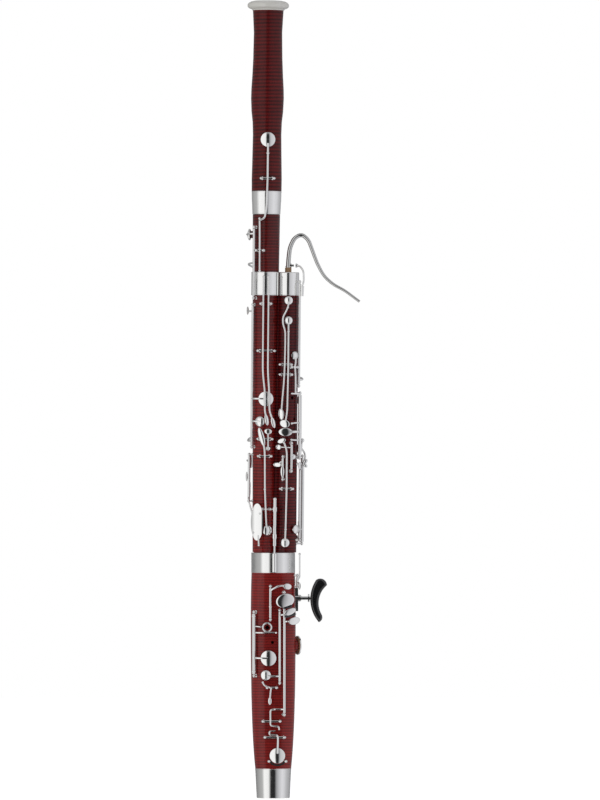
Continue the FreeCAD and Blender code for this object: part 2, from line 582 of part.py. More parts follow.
# ---------------------------------------------------------------- boot: keys and pillars
key("a_flat_key", "boot", P(-4.6, -31.4, 300.5), P(-4.6, -31.4, 356), [
    arm([P(-4.6, -31.4, 349), P(0.0, -34.0, 352), P(9.0, -35.2, 357), P(18.0, -34.0, 357.5)], 1.7),
    touch(P(24.2, -32.6, 356), P(1, 0.35, -0.1), P(0.35, -1, 0), 7.2, 5.0),
    ball(P(-4.6, -31.4, 322), 2.8)], upright)

key("g_key", "boot", P(-32.4, -23.4, 206), P(-32.4, -23.4, 313), [
    arm([P(-32.4, -23.4, 278.5), P(-27.5, -29.4, 278.5), P(-18, -31.6, 278.5), P(4.5, -31.6, 278.5)], 1.4),
    ball(P(4.8, -31.6, 278.5), 2.0),
    arm([P(-32.4, -23.4, 289), P(-28.0, -28.6, 289), P(-22.5, -30.6, 288.5), P(-17.2, -30.4, 288)], 1.1),
    ring(P(-10.0, -30.2, 287.4), FRONT, 7.2, 1.5),
    arm([P(-32.4, -23.4, 236), P(-28.5, -30.6, 236), P(-20, -33.6, 235.8), P(-9, -33.4, 235.6)], 1.7),
    cup(P(-7.7, -29.6, 235.6), FRONT, 13.0),
    ball(P(-32.4, -23.4, 306), 3.6), ball(P(-32.4, -23.4, 213), 3.6)], upright, wall="StemRod")

key("b_flat_key", "boot", P(11.0, -31.2, 194), P(11.0, -31.2, 316), [
    arm([P(11.0, -31.2, 308), P(13.2, -36.2, 308.5), P(18.5, -37.4, 309), P(22, -36.8, 309.4)], 1.4),
    touch(P(28.6, -36.4, 314.0), P(1, 0.3, 0.45), P(0.25, -1, 0.1), 10.5, 5.2),
    arm([P(11.0, -31.2, 205.5), P(5, -33.0, 205.5), P(-4, -32.6, 205.5), P(-9.5, -32.0, 206)], 1.5),
    cup(front("boot", -12.1, 3.0, 207), FRONT, 8.2)], upright)

key("low_f_key", "boot", P(18.8, -31.2, 141), P(18.8, -31.2, 346), [
    bar(P(18.8, -31.2, 331), P(20.0, -36.4, 332), 2.8),
    touch(P(20.2, -37.0, 332.4), P(1, 0.12, 0.25), P(0.12, -1, 0), 15.6, 11.5, 2.2),
    arm([P(18.8, -31.2, 297), P(22.5, -35.0, 297.5), P(31.0, -33.6, 298.2)], 1.5),
    touch(P(35.6, -31.4, 298.4), P(1, 0.6, 0.25), P(0.5, -1, 0), 10.5, 6.4),
    arm([P(18.8, -31.2, 150), P(14.0, -30.0, 150), P(3.4, -30.0, 150)], 1.4),
    ball(P(3.0, -30.0, 150), 1.8)], upright)

key("f_link_key", "boot", P(-17.2, -28.4, 129.6), P(11.4, -28.4, 129.6), [
    arm([P(-4.5, -29.6, 129.6), P(-4.6, -33.6, 137), P(-4.6, -34.4, 149), P(1.8, -34.4, 150)], 1.5),
    ball(P(2.2, -34.4, 150), 1.8),
    arm([P(-4.5, -29.6, 129.6), P(-4.8, -32.2, 123), P(2.0, -32.2, 121.5), P(9.6, -32.2, 121.2),
         P(10.2, -32.2, 115.4)], 1.4)], upright)

low_y = -27.4
key("low_cup_key", "boot", P(-13.8, low_y, 102.7), P(19.0, low_y, 102.7), [
    arm([P(8.1, low_y - 1, 102.7), P(8.0, -31.0, 94), P(7.6, -31.4, 84), P(7.4, -29.2, 76)], 1.7),
    cup(front("boot", 7.2, 3.0, 71.8), FRONT, 12.9),
    arm([P(8.1, low_y - 1, 102.7), P(6.8, -29.6, 106.6), P(-6.4, -29.6, 107.2), P(-6.4, -29.6, 113.0),
         P(3.6, -29.6, 113.4)], 1.4)], upright)

key("guard_lever_key", "boot", P(-10.0, -30.0, 186.0), P(5.6, -30.0, 186.0), [
    arm([P(-3.4, -31.2, 186), P(-6.6, -35.2, 187), P(-14.6, -35.0, 190), P(-17.4, -33.4, 195)], 1.4),
    ball(P(-17.4, -33.4, 195.2), 2.0),
    arm([P(-3.4, -31.2, 186), P(-4.6, -32.6, 177), P(-5.2, -32.2, 167)], 1.5),
    touch(P(-5.4, -31.8, 164), Z, FRONT, 6.5, 3.0)], upright)

pancake_rod = around("boot", 160, 6.4, 262)
key("low_e_pancake_key", "boot", P(pancake_rod.x, pancake_rod.y, 205), P(pancake_rod.x, pancake_rod.y, 300), [
    cup(around("boot", 112, 4.6, 256), facing(112), 16.0),
    arm([P(pancake_rod.x, pancake_rod.y, 256), around("boot", 146, 10.6, 256), around("boot", 128, 10.4, 256),
         around("boot", 116, 8.8, 256)], 1.9),
    arm([P(pancake_rod.x, pancake_rod.y, 220), around("boot", 178, 9.4, 219), around("boot", 196, 9.2, 217)],
        1.8),
    touch(around("boot", 202, 9.0, 216), Z, facing(202), 15, 11, 2.2)], upright)

thumb_rod = around("boot", 205, 6.2, 200)
key("f_sharp_thumb_key", "boot", P(thumb_rod.x, thumb_rod.y, 122), P(thumb_rod.x, thumb_rod.y, 192), [
    arm([P(thumb_rod.x, thumb_rod.y, 184), around("boot", 186, 9.2, 184), around("boot", 172, 9.2, 185)],
        1.7),
    touch(around("boot", 168, 9.0, 186), Z, facing(168), 10, 6.0),
    cup(P(2.0, 27.7, 138), P(0, 1, 0), 10.5),
    arm([P(thumb_rod.x, thumb_rod.y, 138), around("boot", 196, 9.4, 138), P(-9.0, 32.2, 138),
         P(1.0, 31.8, 138)],
        1.6)], upright)

key("side_lock_lever", "boot", P(40.6, -8.0, 355.5), P(40.6, -8.0, 374.0), [
    arm([P(40.6, -8.0, 366), P(44.4, -9.6, 371), P(44.6, -9.8, 379), P(44.6, -9.8, 409)], 1.3),
    ball(P(44.6, -9.8, 410), 2.0),
    arm([P(40.6, -8.0, 363), P(43.9, -11.5, 361), P(44.2, -14.0, 358.5)], 1.3),
    touch(P(44.3, -15.0, 356.5), Z, facing(70), 6.0, 3.2)], upright)

# ---------------------------------------------------------------- pillars as groups of screwed pieces
pillar_nodes = {}
for joint, frame in (("bell", lean), ("bass", lean), ("wing", lean), ("boot", upright)):
    pillar_nodes[joint] = group(f"{joint}_posts", POSTS[joint], frame)

# ---------------------------------------------------------------- bell
bell_wood = turned("bell_turned", [
    (s("@BassHeadTenon + @FitGap"), s("@BellFoot")), (s("@BellSpigot"), s("@BellFoot")),
    (s("@BellSpigot"), s("@BellFerruleTop")), ("25.1", s("@BellFerruleTop")), ("25.3", "1041"),
    ("24.5", "1080"),
    ("23.9", "1115"), ("24.6", "1136"), ("26.6", "1154"), ("27.6", "1176"), ("27.2", "1192"),
    ("25.9", "1213"),
    ("24.6", "1243"), ("23.8", "1287"), ("24.9", "1308"), ("25.8", s("@BellTop")),
    (s("@BellBore"), s("@BellTop")),
    (s("@BellBore"), "1200"), (s("@BassBoreHead"), s("@BellFoot + @BellSocket")),
    (s("@BassHeadTenon + @FitGap"), s("@BellFoot + @BellSocket"))], lean, size("BassAxis"))


def drilled_for(label, wood, joint, frame, more=()):
    """Drill a piece for the stems of the pillars that are screwed into it."""
    tools = list(POSTS[joint]) + list(more)
    return node(cut(label, wood, tools), frame)


drilled_for("bell_body", bell_wood, "bell", lean)
node(turned("bell_ferrule", [
    (s("@BellSpigot"), s("@BellFoot")), ("23.3", s("@BellFoot")), ("23.6", "983.5"), ("24.3", "1001"),
    ("24.6", "1003"), ("24.9", "1016"), ("24.9", s("@BellFerruleTop")),
    (s("@BellSpigot"), s("@BellFerruleTop"))],
    lean, size("BassAxis")), lean)
node(turned("bell_ring", [
    (s("@BellBore"), s("@BellTop")), ("26.4", s("@BellTop")), ("27.6", "1326"), ("31.5", "1327.4"),
    ("34.2", "1329.4"), (s("@RingWall"), "1332"), ("34.4", "1334.6"), ("32.4", "1337"), ("28.6", "1339"),
    ("24", s("@RingTop")), (s("@BellBore"), s("@RingTop"))], lean, size("BassAxis")), lean)

# ---------------------------------------------------------------- long joint
SHOULDER = "@BootTop + @ShoulderGap"
bass_wood = turned("bass_turned", [
    (s("@BassBoreFoot"), s("@BootTop - @SocketDepth + 1")), (s("@BassTenon"),
                                                             s("@BootTop - @SocketDepth + 1")),
    (s("@BassTenon"), s(SHOULDER)), (s("@BassFoot"), s(SHOULDER)), (s("@BassHead"), s("@BassTop")),
    (s("@BassHeadTenon"), s("@BassTop")), (s("@BassHeadTenon"), s("@BassTop + @BellSocket")),
    (s("@BassBoreHead"), s("@BassTop + @BellSocket"))], lean, size("BassAxis"))
band_inner = bass_wall(size("WingTop"))
band_turned = turned("bass_band_turned", [
    (f"{band_inner:.3f}", s("@WingTop")), (s("@BandWall"), s("@WingTop")), (s("@BandWall"), s("@BandTop")),
    (f"{bass_wall(size('BandTop')):.3f}", s("@BandTop"))], lean, size("BassAxis"))
band_notch = bar(P(size("WingAxis"), 0, size("WingTop") - 5), P(size("WingAxis"), 0, size("BandTop") + 5), 20.5)
node(cut("bass_band", band_turned, [band_notch]), lean)

guard_reach = bass_wall(465) + 10.4
guard_shell = doc.addObject("Part::Feature", "GuardShell")
guard_section = Part.Face(Part.Wire(Part.makePolygon([
    P(guard_reach, 0, 430), P(guard_reach, 0, 500), P(guard_reach + 1.0, 0, 500),
    P(guard_reach + 1.0, 0, 430), P(guard_reach, 0, 430)])))
guard_band = guard_section.revolve(Vector(), Z, 64)
guard_band.Placement = FreeCAD.Placement(P(size("BassAxis"), 0, 0), FreeCAD.Rotation(Z, -90 - 64))
guard_oval = Part.Ellipse(P(-27.5, 0, 495), P(-17.0, 0, 464), P(-27.5, 0, 464))
guard_shell.Shape = guard_band.common(Part.Face(Part.Wire(guard_oval.toShape())).extrude(P(0, -60, 0)))
guard_feet = [arm([around("bass", -15, 10.9, 425), around("bass", -17, 10.9, 442)], 1.5)]
for angle, height in ((-15, 425), (-34, 446), (-12, 478)):
    guard_feet.append(bar(around("bass", angle, -3, height), around("bass", angle, 10.8, height), 1.5))
    guard_feet.append(ball(around("bass", angle, 11.4, height), 1.9))
GUARD_FEET = fused("GuardFeet", guard_feet)
node(fused("bass_key_guard", [guard_shell, GUARD_FEET]), lean)
drilled_for("bass_body", bass_wood, "bass", lean, [GUARD_FEET])

# ---------------------------------------------------------------- wing joint
wing_wood = turned("wing_turned", [
    (s("@LinerWall"), s("@BootTop - @SocketDepth + 1")), (s("@WingTenon"), s("@BootTop - @SocketDepth + 1")),
    (s("@WingTenon"), s(SHOULDER)), (s("@WingWall"), s(SHOULDER)), (s("@WingWall"), s("@WingTop")),
    (s("@WingSpigot"), s("@WingTop")), (s("@WingSpigot"), s("@BandTop - 2")),
    (s("@CorkWall"), s("@BandTop - 2")),
    (s("@CorkWall"), s("@BandTop - @CorkSocket")), (s("@LinerBore"), s("@BandTop - @CorkSocket")),
    (s("@LinerBore"), s("@WingTop - 20")), (s("@LinerWall"), s("@WingTop - 20"))], lean, size("WingAxis"))
flange = named("Part::Box", "WingFlange")
flange.Length = 14.0
flange.Width = 18.0
flange.Height = size("WingTop") - size("BootTop") - size("ShoulderGap")
flange.Placement.Base = P(-2.0, -9.0, size("BootTop") + size("ShoulderGap"))
wing_solid = fused("WingSolid", [wing_wood, flange])
scoop = named("Part::Cone", "Scoop")
scoop.Radius1 = bass_wall(400) + size("ScoopGap")
scoop.Radius2 = bass_wall(1000) + size("ScoopGap")
scoop.Height = 600
scoop.Placement = FreeCAD.Placement(P(size("BassAxis"), 0, 400), FreeCAD.Rotation(Z, 180))
wing_finger_holes = [bar(P(size("WingAxis"), 0, height), around("wing", side, 3, height), 2.7)
                     for side, height in ((30, 673), (46, 637))]
drilled_for("wing_body", wing_solid, "wing", lean, [scoop] + wing_finger_holes)
liner_tube = turned("wing_liner_turned", [
    (s("@LinerBore"), s("@BootTop - @SocketDepth + 1")), (s("@LinerWall"), s("@BootTop - @SocketDepth + 1")),
    (s("@LinerWall"), s("@WingTop - 20")), (s("@LinerBore"), s("@WingTop - 20"))], lean, size("WingAxis"))
node(cut("wing_liner", liner_tube, wing_finger_holes), lean)
ferrule_turned = turned("wing_ferrule_turned", [
    (s("@WingSpigot"), s("@WingTop")), (s("@WingFerruleWall"), s("@WingTop")),
    (s("@WingFerruleWall"), s("@BandTop - 1")), ("17.6", s("@BandTop")), (s("@CorkWall"), s("@BandTop")),
    (s("@CorkWall"), s("@BandTop - 2")), (s("@WingSpigot"), s("@BandTop - 2"))], lean, size("WingAxis"))
drilled_for("wing_ferrule", ferrule_turned, "wing", lean, [scoop])

# ---------------------------------------------------------------- bocal
node(turned("bocal_cork", [
    (s("@BocalFoot + @FitGap"), "856"), (s("@CorkWall - @FitGap - 0.4"), "856"),
    (s("@CorkWall - @FitGap"), "860"),
    (s("@CorkWall - @FitGap"), "892"), (s("@BocalFoot + @FitGap"), "892")], lean, size("WingAxis")), lean)

BOCAL_ROUTE = [P(21, 0, 857), P(21, 0, 903), P(23.4, 0, 926), P(31, 0, 942), P(43, 0, 948.5), P(54.5, 0, 939),
               P(62, 0, 919), P(70.5, 0, 897), P(82, 0, 877), P(98, 0, 863.5), P(116, 0, 854.5),
               P(131, 0, 843.5)]


def tapered_tube(path, points, foot, tip):
    shell = Part.BRepOffsetAPI.MakePipeShell(path)
    shell.add(Part.Wire(Part.makeCircle(foot, points[0], points[1] - points[0])))
    shell.add(Part.Wire(Part.makeCircle(tip, points[-1], points[-1] - points[-2])))
    shell.build()
    shell.makeSolid()
    return shell.shape()


route = smooth_path(BOCAL_ROUTE)
skin = size("BocalBore")
outer = tapered_tube(route, BOCAL_ROUTE, size("BocalFoot"), size("BocalTip"))
bocal_outer = doc.addObject("Part::Feature", "BocalOuter")
bocal_outer.Shape = outer
tip_way = (BOCAL_ROUTE[-1] - BOCAL_ROUTE[-2]).normalize()
tip_sleeve = bound_bar(BOCAL_ROUTE[-1] - tip_way * 1.0, BOCAL_ROUTE[-1] + tip_way * 13, "BocalTip")
nipple = bar(P(22, 0, 895.5), P(30.4, 0, 895.5), 1.9)
nipple_collar = bar(P(24.2, 0, 895.5), P(26.4, 0, 895.5), 3.4)
nipple_hole = bar(P(20, 0, 895.5), P(31, 0, 895.5), 0.5)
foot_bore = bar(P(21, 0, 850), P(21, 0, 899), size("BocalFoot") - 0.9)
tip_bore = bar(BOCAL_ROUTE[-1] - tip_way * 4, BOCAL_ROUTE[-1] + tip_way * 14, size("BocalTip") - 0.6)
bocal_solid = fused("BocalSolid", [bocal_outer, tip_sleeve, nipple, nipple_collar])
node(cut("bocal_tube", bocal_solid, [nipple_hole, foot_bore, tip_bore]), lean)

# ---------------------------------------------------------------- boot
wood_levels = (49.6, 97.0, 164.0, 265.0, 378.7)
boot_outer = lofted("BootOuter", [oval(level) for level in wood_levels])
boot_spigot = lofted("BootSpigot", [oval(size("BootFerruleBase"), 1.6), oval(size("BootTop") - 0.8, 1.6)])
BASS_BORE_X, WING_BORE_X = -14.0, 15.0
socket_floor = size("BootTop") - size("SocketDepth")


def socket(axis_x, wall):
    piece = bar(P(axis_x, 0, socket_floor), P(axis_x, 0, size("BootTop") + 20), wall + size("FitGap"))
    piece.Placement = lean.multiply(piece.Placement)
    return piece


sockets = [socket(size("BassAxis"), size("BassTenon")), socket(size("WingAxis"), size("WingTenon"))]
bores = [bar(P(BASS_BORE_X, 0, 45), P(BASS_BORE_X, 0, socket_floor + 2), 8.5),
         bar(P(WING_BORE_X, 0, 45), P(WING_BORE_X, 0, socket_floor + 2), 7.0)]
finger_holes = [bar(P(-10.0, -40, 287), P(-10.0, -6, 287), 3.2),
                bar(P(-1.0, -40, 262), P(-1.0, -6, 262), 2.6)]
rest_low, rest_high = 314.0, 353.0
REST_Z = 335.8
rest_plate = Part.makeBox(7.0, 9.0, rest_high - rest_low, P(35.0, -4.5, rest_low))
rest_boss = bar(P(32.6, 0, REST_Z), P(46.0, 0, REST_Z), 5.6)
plate_piece = doc.addObject("Part::Feature", "RestPlate")
plate_piece.Shape = rest_plate
rest_outer = fused("RestOuter", [plate_piece, rest_boss])
screw_axis = P(43.2, 0, REST_Z)
rest_holes = [bar(P(34.0, 0, REST_Z), P(48, 0, REST_Z), size("StemRod") + 0.06),
              bar(screw_axis, screw_axis + P(0, 12, 0), 1.32)]
rest_in_wood = cut("RestOnBoot", rest_outer, rest_holes)
node(cut("handrest_socket", rest_in_wood, [boot_outer]), upright)
strap_lug = Part.makeBox(5.0, 9.0, 14.0, P(-2.5, 23.0, 322.0))
strap_piece = doc.addObject("Part::Feature", "StrapLug")
strap_piece.Shape = strap_lug
strap_eye = bar(P(-2.6, 32.0, 329), P(2.6, 32.0, 329), 6.5)
strap_hole = bar(P(-4, 32.0, 329), P(4, 32.0, 329), 3.5)
strap_solid = cut("StrapBored", fused("StrapSolid", [strap_piece, strap_eye]), [strap_hole])
node(cut("strap_ring", strap_solid, [boot_outer]), upright)

guard_ring = Part.makeCylinder(17.4, 1.2, P(7.2, -28.2, 71.8), P(0, 1, 0)).cut(
    Part.makeCylinder(14.4, 3, P(7.2, -29, 71.8), P(0, 1, 0))).cut(
    Part.makeBox(60, 10, 30, P(-22, -32, 64.5)))
crescent = doc.addObject("Part::Feature", "Crescent")
crescent.Shape = guard_ring
crescent_feet = []
for foot_x in (-7.2, 21.6):
    crescent_feet.append(bar(P(foot_x, -18.0, 62.6), P(foot_x, -28.6, 62.6), 1.6))
    crescent_feet.append(ball(P(foot_x, -28.4, 62.6), 2.4))
guard_feet_boot = fused("CrescentFeet", crescent_feet)
node(fused("boot_pad_guard", [crescent, guard_feet_boot]), upright)

lock_rest = lean.multVec(P(LOCK_X, LOCK_Y, 396))
lock_block = fused("LockBlock", [bar(P(lock_rest.x, lock_rest.y, 380), P(lock_rest.x, lock_rest.y, 411), 3.6),
                                 bar(P(lock_rest.x, -22, 395), P(lock_rest.x, lock_rest.y, 395), 2.2)])
lock_way = bar(P(LOCK_X, LOCK_Y, 386), P(LOCK_X, LOCK_Y, 420), size("LockTip") + 0.06)
lock_way.Placement = lean.multiply(lock_way.Placement)
ferrule_outer = lofted("FerruleOuter", [oval(size("BootFerruleBase"), -0.3), oval(size("BootTop"), -0.3)],
                       True)
ferrule_inner = lofted("FerruleInner", [oval(size("BootFerruleBase") - 1, 1.6),
                                        oval(size("BootTop") + 1, 1.6)], True)
ferrule_solid = cut("FerruleRing", ferrule_outer, [ferrule_inner])
node(cut("lock_socket", lock_block, [ferrule_outer, lock_way]), upright)
node(cut("boot_ferrule", ferrule_solid, [boot_outer]), upright)
boot_wood = fused("BootWood", [boot_outer, boot_spigot])
drilled_for("boot_body", boot_wood, "boot", upright,
            sockets + bores + finger_holes + [guard_feet_boot, rest_holes[0]])

cap_outer = lofted("CapOuter", [oval(0.0), oval(size("CapTop"))], True)
cap_inner = lofted("CapInner", [oval(size("CapWall"), size("CapWall")),
                                oval(size("CapTop") + 5, size("CapWall"),
                                                                          60.9)], True)
node(cut("boot_cap", cap_outer, [cap_inner]), upright)
bend_x = (BASS_BORE_X + WING_BORE_X) / 2
bend_wall = (WING_BORE_X - BASS_BORE_X) / 2
half_ring = Part.makeTorus(bend_wall, 8.4, P(bend_x, 0, size("CapTop")), P(0, 1, 0)).cut(
    Part.makeTorus(bend_wall, 7.0, P(bend_x, 0, size("CapTop")), P(0, 1, 0))).common(
    Part.makeBox(100, 100, 60, P(-50, -50, size("CapTop") - 60)))
u_tube = doc.addObject("Part::Feature", "boot_u_tube")
u_tube.Label = "boot_u_tube"
u_tube.Shape = half_ring
node(u_tube, upright)

# ---------------------------------------------------------------- hand rest
node(fused("handrest_stem", [
    bound_bar(P(38.5, 0, REST_Z), P(66.4, 0, REST_Z), "StemRod"),
    bar(P(58.4, 0, REST_Z), P(60.9, 0, REST_Z), 6.7)]), upright)
screw = fused("ThumbScrew", [bar(P(43.2, 3.3, REST_Z), P(43.2, 9.0, REST_Z), 1.25),
                             bar(P(43.2, 6.2, REST_Z), P(43.2, 9.4, REST_Z), 5.4)])
notches = [bar(P(43.2 + 6.0 * math.cos(a), 5, REST_Z + 6.0 * math.sin(a)),
               P(43.2 + 6.0 * math.cos(a), 11, REST_Z + 6.0 * math.sin(a)), 0.9)
           for a in (math.radians(30 * n) for n in range(12))]
node(cut("handrest_screw", screw, notches), upright)

rest_curves = [
    (P(72, 0, 366), P(62.4, 0, 336), P(76.7, 0, 295.4)), (P(76.7, 0, 295.4), P(81.0, 0, 298.5),
                                                          P(81.6, 0, 308)),
    (P(81.6, 0, 308), P(76.6, 0, 331), P(90.5, 0, 357.6)), (P(90.5, 0, 357.6), P(84.5, 0, 367.2),
                                                            P(72, 0, 366))]
crutch_face = Part.Face(Part.Wire([Part.Arc(*points).toShape() for points in rest_curves]))
depth = size("CrutchDepth")
crutch_shape = crutch_face.extrude(P(0, depth, 0))
crutch_shape.translate(P(0, -depth / 2, 0))
crutch = doc.addObject("Part::Feature", "Crutch")
crutch.Shape = crutch_shape.makeFillet(4.0, [edge for edge in crutch_shape.Edges
                                             if abs(abs(edge.CenterOfMass.y) - depth / 2) < 0.01])
crutch_hole = bar(P(58, 0, REST_Z), P(67.0, 0, REST_Z), size("StemRod") + 0.06)
node(cut("handrest_crutch", crutch, [crutch_hole]), upright)

# ---------------------------------------------------------------- check everything and write the parts
doc.recompute()
failed = [thing.Label for thing in doc.Objects if {"Invalid", "Error"} & set(thing.State)]
if failed:
    raise RuntimeError("these did not build: " + ", ".join(failed))
os.makedirs("parts", exist_ok=True)
for piece in NODES:
    if piece.Shape.isNull() or not piece.Shape.isValid():
        raise RuntimeError(f"{piece.Label} has no valid shape")
for piece in NODES:
    piece.Shape.exportStep(f"parts/{piece.Label}.step")
    print(piece.Label, len(piece.Shape.Solids), round(piece.Shape.Volume))
print(len(NODES), "sub-parts")
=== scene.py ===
import math
import random
import bpy
import bmesh
from mathutils import Matrix, Vector


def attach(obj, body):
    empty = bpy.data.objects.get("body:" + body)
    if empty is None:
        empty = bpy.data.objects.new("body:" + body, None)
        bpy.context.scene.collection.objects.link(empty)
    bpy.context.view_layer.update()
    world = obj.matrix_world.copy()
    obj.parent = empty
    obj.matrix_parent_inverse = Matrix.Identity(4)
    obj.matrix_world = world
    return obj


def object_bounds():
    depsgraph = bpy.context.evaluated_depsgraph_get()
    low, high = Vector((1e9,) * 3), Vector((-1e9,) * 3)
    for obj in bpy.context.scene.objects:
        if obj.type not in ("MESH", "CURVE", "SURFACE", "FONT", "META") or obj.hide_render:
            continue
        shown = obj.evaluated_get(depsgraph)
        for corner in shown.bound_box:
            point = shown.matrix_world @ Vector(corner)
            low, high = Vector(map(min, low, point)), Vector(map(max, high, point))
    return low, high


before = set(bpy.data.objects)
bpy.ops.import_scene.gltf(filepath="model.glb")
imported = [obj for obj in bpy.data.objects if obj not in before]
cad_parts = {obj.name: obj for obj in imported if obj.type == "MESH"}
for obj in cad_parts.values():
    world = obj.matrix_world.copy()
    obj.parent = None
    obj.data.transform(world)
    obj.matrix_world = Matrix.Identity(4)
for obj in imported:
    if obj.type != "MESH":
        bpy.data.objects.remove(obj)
load_box = [list(corner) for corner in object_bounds()]
random.seed(7)
X, Y, Z = Vector((1, 0, 0)), Vector((0, 1, 0)), Vector((0, 0, 1))
FRONT = -Y


# ---------------------------------------------------------------- places, in millimetres until frame_of()
BODY = {"bell": "bell", "bass": "bass", "wing": "wing", "boot": "root"}
BOOT_TOP = 412.2
BOOT_WIDTHS = ((0.0, 55.5), (49.6, 60.6), (97.0, 68.0), (164.0, 73.0), (265.0, 75.5),
               (378.7, 73.0), (412.2, 73.0))
LEAN = (Matrix.Translation((0, 0, BOOT_TOP)) @ Matrix.Rotation(math.radians(0.52), 4, "Y")
        @ Matrix.Translation((0, 0, -BOOT_TOP)))


def boot_width(height):
    for (low, narrow), (high, wide) in zip(BOOT_WIDTHS, BOOT_WIDTHS[1:]):
        if height <= high:
            return narrow + (wide - narrow) * (height - low) / (high - low)
    return BOOT_WIDTHS[-1][1]


def middle_and_wall(joint, x, height):
    if joint == "bass":
        return -16.6, 18.2 + (height - BOOT_TOP) / 568.5 * 4.8
    if joint == "wing":
        return 21.0, 17.7
    if joint == "bell":
        return -16.6, 25.2
    wall = boot_width(height) * 0.33
    half_flat = boot_width(height) / 2 - wall
    return max(-half_flat, min(half_flat, x)), wall


def around(joint, angle, stand, height):
    """A point standing off a joint's wall; the angle is from the front towards +X."""
    turn = math.radians(angle)
    side = math.copysign(1000, math.sin(turn)) if joint == "boot" else 0
    middle, wall = middle_and_wall(joint, side, height)
    reach = wall + stand
    return Vector((middle + reach * math.sin(turn), -reach * math.cos(turn), height))


def front(joint, x, stand, height):
    middle, wall = middle_and_wall(joint, x, height)
    return Vector((x, -math.sqrt(max(wall ** 2 - (x - middle) ** 2, 0)) - stand, height))


def facing(angle):
    return Vector((math.sin(math.radians(angle)), -math.cos(math.radians(angle)), 0))


def frame_of(joint):
    """Millimetres in a joint's design frame to metres in the row frame."""
    return Matrix.Scale(0.001, 4) @ (Matrix.Identity(4) if joint == "boot" else LEAN)


def stood_on(joint, centre, outward):
    """A matrix whose Z runs outward from centre."""
    return frame_of(joint) @ Matrix.Translation(centre) @ outward.to_track_quat("Z", "Y").to_matrix().to_4x4()


# ---------------------------------------------------------------- node materials
def shader(label):
    mat = bpy.data.materials.new(label)
    mat.use_nodes = True
    tree = mat.node_tree
    return mat, tree, tree.nodes["Principled BSDF"]


def add(tree, kind, **values):
    made = tree.nodes.new(kind)
    for key, value in values.items():
        if hasattr(made, key):
            setattr(made, key, value)
        else:
            made.inputs[key.replace("_", " ")].default_value = value
    return made


def ramp(tree, source, stops):
    made = tree.nodes.new("ShaderNodeValToRGB")
    tree.links.new(source, made.inputs["Fac"])
    while len(made.color_ramp.elements) < len(stops):
        made.color_ramp.elements.new(0.5)
    for element, (where, colour) in zip(made.color_ramp.elements, stops):
        element.position = where
        element.color = (*colour, 1)
    return made.outputs["Color"]


def stretched(tree, scale):
    """The piece's own coordinates, stretched."""
    coords = add(tree, "ShaderNodeTexCoord")
    mapping = add(tree, "ShaderNodeMapping")
    mapping.inputs["Scale"].default_value = scale
    tree.links.new(coords.outputs["Object"], mapping.inputs["Vector"])
    return mapping.outputs["Vector"]


def noise(tree, scale, **values):
    made = add(tree, "ShaderNodeTexNoise", Scale=1.0, **values)
    tree.links.new(stretched(tree, scale), made.inputs["Vector"])
    return made.outputs["Fac"]


def blend(tree, kind, share, first, second):
    made = tree.nodes.new("ShaderNodeMix")
    made.data_type = "RGBA"
    made.blend_type = kind
    made.inputs["Factor"].default_value = share
    tree.links.new(first, made.inputs[6])
    tree.links.new(second, made.inputs[7])
    return made.outputs[2]


def maple(label, light, dark, spacing, gloss, top):
    """Red-varnished maple with flame stripes across the grain, under a clear gloss.

    top is the share of the colour left at the upper end of the bass joint; this darkening with height is painted
    shade.
    """
    mat, tree, look = shader(label)
    wave = add(tree, "ShaderNodeTexWave", Scale=0.314 / spacing, Distortion=3.4, Detail=2.0,
               Detail_Scale=0.12)
    wave.bands_direction = "Z"
    tree.links.new(stretched(tree, (1, 1, 1)), wave.inputs["Vector"])
    flame = noise(tree, (26, 26, 1.1 / spacing), Detail=3.0, Roughness=0.62)
    mixed = blend(tree, "MIX", 0.6, wave.outputs["Color"], flame)
    between = [0.5 * (a + b) for a, b in zip(light, dark)]
    base = ramp(tree, mixed, ((0.28, dark), (0.5, between), (0.72, light)))
    fibre = ramp(tree, noise(tree, (700, 700, 26), Detail=4.0, Roughness=0.7),
                 ((0.3, (0.72, 0.7, 0.7)), (0.62, (1.0, 1.0, 1.0))))
    cloud = ramp(tree, noise(tree, (14, 14, 5), Detail=2.0),
                 ((0.3, (0.78, 0.74, 0.74)), (0.7, (1.1, 1.04, 1.0))))
    split = add(tree, "ShaderNodeSeparateXYZ")
    tree.links.new(stretched(tree, (1, 1, 1)), split.inputs[0])
    # Painted shade: the wood darkens with height from 0.62 m to 0.97 m, down to top at the upper end.
    painted_shade_by_height = ramp(tree, split.outputs["Z"], ((0.62, (1, 1, 1)), (0.97, (top, top, top))))
    base_with_painted_shade = blend(tree, "MULTIPLY", 1.0, base, painted_shade_by_height)
    colour = blend(tree, "MULTIPLY", 1.0, blend(tree, "MULTIPLY", 0.8, base_with_painted_shade, fibre), cloud)
    tree.links.new(colour, look.inputs["Base Color"])
    look.inputs["Roughness"].default_value = 0.42
    look.inputs["Specular IOR Level"].default_value = 0.15
    look.inputs["Coat Weight"].default_value = gloss
    look.inputs["Coat Roughness"].default_value = 0.1
    look.inputs["Coat IOR"].default_value = 1.42
    return mat


